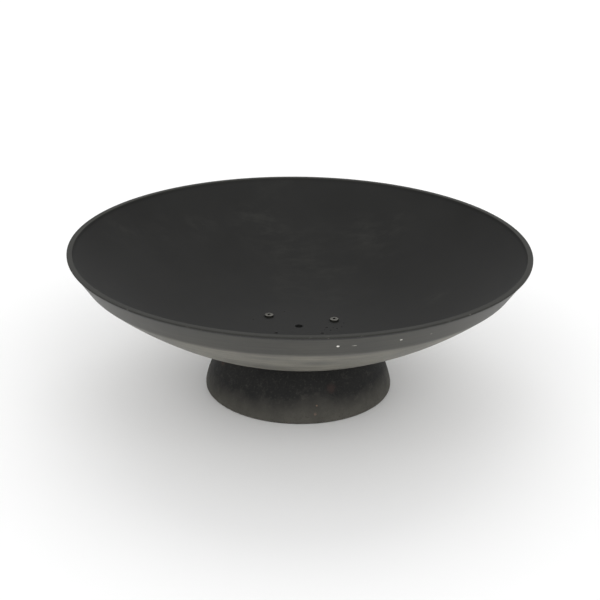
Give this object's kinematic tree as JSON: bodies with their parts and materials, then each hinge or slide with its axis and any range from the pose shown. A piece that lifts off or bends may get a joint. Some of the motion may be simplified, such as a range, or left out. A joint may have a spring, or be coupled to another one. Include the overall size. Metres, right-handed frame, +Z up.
{
  "type": "fire bowl",
  "caption": "Shallow round fire bowl on a flared hollow foot: an open iron hearth for charcoal or coal, with a drain hole in its floor.",
  "frame": {"origin": "on the ground, under the centre of the bowl", "axes": "+Z up along the bowl's axis; a screw stands 22.5 degrees from +X towards +Y and the other two follow at 120 degree steps"},
  "size_m": [0.6, 0.6, 0.2],
  "materials": {
    "bowl_iron": "matt black heat-resistant paint, thin and streaky outside",
    "foot_iron": "rough sand-cast skin under matt black paint",
    "screw_steel": "dull dark steel",
    "zinc_steel": "zinc-plated",
    "spring_steel": "phosphated spring steel"
  },
  "bodies": {
    "root": {"bowl": "bowl_iron", "foot": "foot_iron", "screw_1": "screw_steel", "washer_1": "zinc_steel", "spring_washer_1": "spring_steel", "nut_1": "zinc_steel", "screw_2": "screw_steel", "washer_2": "zinc_steel", "spring_washer_2": "spring_steel", "nut_2": "zinc_steel", "screw_3": "screw_steel", "washer_3": "zinc_steel", "spring_washer_3": "spring_steel", "nut_3": "zinc_steel"}
  },
  "joints": []
}
